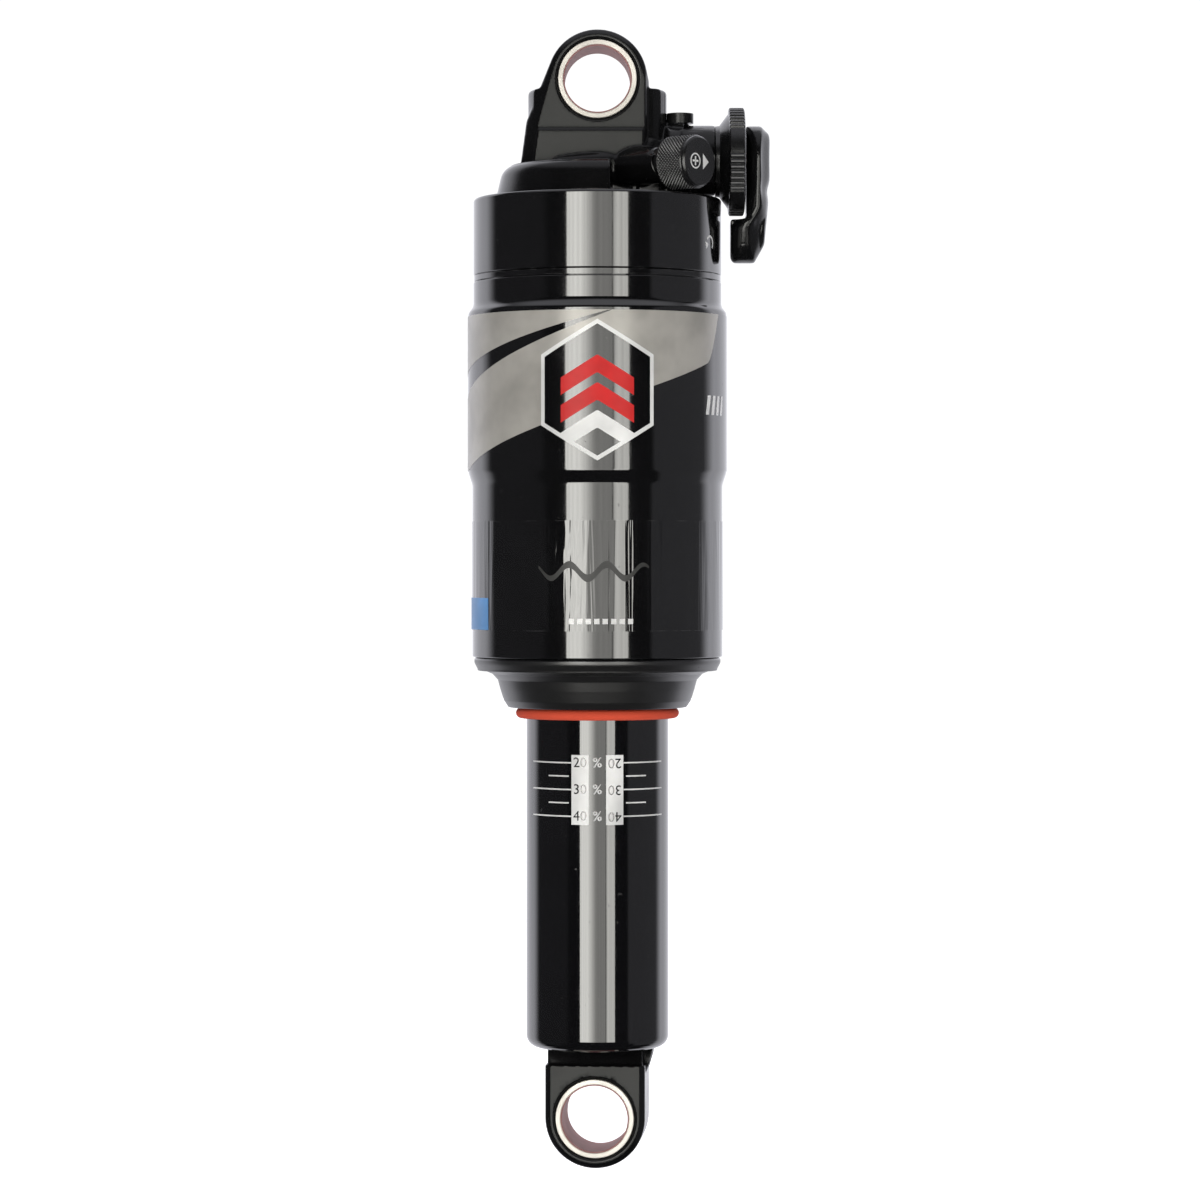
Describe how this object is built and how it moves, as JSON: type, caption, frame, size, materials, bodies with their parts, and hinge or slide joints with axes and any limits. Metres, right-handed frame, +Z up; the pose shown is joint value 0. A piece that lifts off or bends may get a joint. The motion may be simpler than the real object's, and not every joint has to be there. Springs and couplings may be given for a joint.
{
  "type": "rear shock",
  "caption": "Air-sprung rear shock with an eye at each end, a stepped air can, a sliding damper tube, a rebound dial, a lever and a capped air valve.",
  "frame": {"origin": "centre of the upper eye's bore", "axes": "+Z up along the shock's axis from the lower eye to the upper eye, Y along the upper eye's bore, +X towards the dial and lever"},
  "size_m": [0.0585, 0.0501, 0.2192],
  "materials": {
    "black_anodised": "gloss black anodised aluminium",
    "eye_faces": "satin black anodised cast aluminium",
    "tube_black": "polished black anodised aluminium",
    "bright_steel": "turned bright steel",
    "shaft_chrome": "hard chromed steel",
    "piston_alloy": "machined aluminium",
    "liner": "mauve low-friction lining",
    "black_rubber": "matt nitrile rubber",
    "red_rubber": "satin red rubber",
    "bumper": "soft cream elastomer",
    "bearing_tape": "bronze-filled bearing tape",
    "backup_white": "white bearing plastic",
    "black_alloy": "satin black anodised aluminium",
    "black_plastic": "semi-gloss black moulding",
    "valve_brass": "plated brass",
    "upper_label": "gloss printed film",
    "lower_label": "clear gloss film over black",
    "sticker": "blue inspection sticker"
  },
  "bodies": {
    "head_and_can": {"head_eyelet": "eye_faces", "upper_bush": "bright_steel", "upper_bush_liner": "liner", "head_oring": "black_rubber", "air_can": "black_anodised", "outer_sleeve": "black_anodised", "sleeve_oring_upper": "black_rubber", "sleeve_oring_lower": "black_rubber", "sleeve_retaining_ring": "black_anodised", "volume_spacer": "black_rubber", "bottom_out_bumper": "bumper", "top_out_bumper": "bumper", "can_glide_bush": "bearing_tape", "can_u_cup_seal": "black_rubber", "can_backup_ring": "backup_white", "wiper_seal": "black_rubber", "damper_shaft": "shaft_chrome", "main_piston": "piston_alloy", "piston_glide_band": "bearing_tape", "compression_shims": "bright_steel", "rebound_shims": "bright_steel", "piston_nut": "bright_steel", "valve_stem": "black_alloy", "valve_core": "valve_brass", "housing_plug": "black_alloy", "detent_ball": "shaft_chrome", "detent_spring": "bright_steel", "upper_label": "upper_label", "lower_label": "lower_label", "side_sticker": "sticker"},
    "air_piston_seals": {"air_piston_glide_ring": "bearing_tape", "air_piston_quad_seal": "black_rubber"},
    "damper_body": {"damper_tube": "tube_black", "lower_eyelet": "eye_faces", "seal_head": "piston_alloy", "shaft_seal": "black_rubber", "shaft_bushing": "bearing_tape", "seal_head_oring": "black_rubber", "lower_bush": "bright_steel", "lower_bush_liner": "liner", "fill_plug": "black_alloy", "tube_bottom_oring": "black_rubber"},
    "gas_piston": {"floating_piston": "piston_alloy", "floating_piston_oring": "black_rubber", "floating_piston_band": "bearing_tape"},
    "travel_marker": {"travel_ring": "red_rubber"},
    "rebound_adjuster": {"rebound_dial": "black_alloy", "rebound_cam": "bright_steel"},
    "rebound_needle": {"rebound_rod": "bright_steel"},
    "lever": {"firm_lever": "black_plastic", "lever_shaft": "bright_steel", "lever_screw": "bright_steel"},
    "compression_tube": {"compression_rod": "piston_alloy"},
    "cap_washer": {"cap_seal": "black_rubber"},
    "air_cap": {"valve_cap": "black_alloy"},
    "core_pin": {"valve_pin": "valve_brass"}
  },
  "joints": [
    {"name": "stroke", "type": "slide", "parent": "head_and_can", "child": "air_piston_seals", "axis": [0, 0, 1], "range_m": [0, 0.051], "stiffness_N_per_m": 3000},
    {"name": "damper_twist", "type": "hinge", "parent": "air_piston_seals", "child": "damper_body", "pos_m": [0, 0, -0.15], "axis": [0, 0, 1], "continuous": true},
    {"name": "gas_piston_slide", "type": "slide", "parent": "damper_body", "child": "gas_piston", "axis": [0, 0, 1], "range_m": [-0.00695, 0]},
    {"name": "travel_ring_slide", "type": "slide", "parent": "damper_body", "child": "travel_marker", "axis": [0, 0, 1], "range_m": [-0.0511, 0]},
    {"name": "rebound_turn", "type": "hinge", "parent": "head_and_can", "child": "rebound_adjuster", "pos_m": [0.026, 0, -0.0152], "axis": [1, 0, 0], "range_deg": [-135, 135]},
    {"name": "rebound_rod_slide", "type": "slide", "parent": "head_and_can", "child": "rebound_needle", "axis": [0, 0, 1], "range_m": [-0.0009, 0.0009]},
    {"name": "lever_turn", "type": "hinge", "parent": "head_and_can", "child": "lever", "pos_m": [0.031, 0, -0.0152], "axis": [1, 0, 0], "range_deg": [0, 60]},
    {"name": "compression_rod_slide", "type": "slide", "parent": "head_and_can", "child": "compression_tube", "axis": [0, 0, 1], "range_m": [-0.0008, 0]},
    {"name": "cap_lift", "type": "slide", "parent": "head_and_can", "child": "cap_washer", "axis": [0.766, -0.6428, 0], "range_m": [0, 0.004]},
    {"name": "cap_turn", "type": "hinge", "parent": "cap_washer", "child": "air_cap", "pos_m": [0.01609, -0.0135, -0.0169], "axis": [0.766, -0.6428, 0], "range_deg": [0, 1800]},
    {"name": "valve_pin_press", "type": "slide", "parent": "head_and_can", "child": "core_pin", "axis": [-0.766, 0.6428, 0], "range_m": [0, 0.0008], "stiffness_N_per_m": 500}
  ],
  "couplings": [
    {"joint": "gas_piston_slide", "follows": "stroke", "ratio": -0.13605},
    {"joint": "travel_ring_slide", "follows": "stroke", "ratio": -1},
    {"joint": "rebound_turn", "follows": "rebound_rod_slide", "rad_per_m": -2618},
    {"joint": "lever_turn", "follows": "compression_rod_slide", "rad_per_m": -1309},
    {"joint": "cap_turn", "follows": "cap_lift", "rad_per_m": 7854}
  ]
}
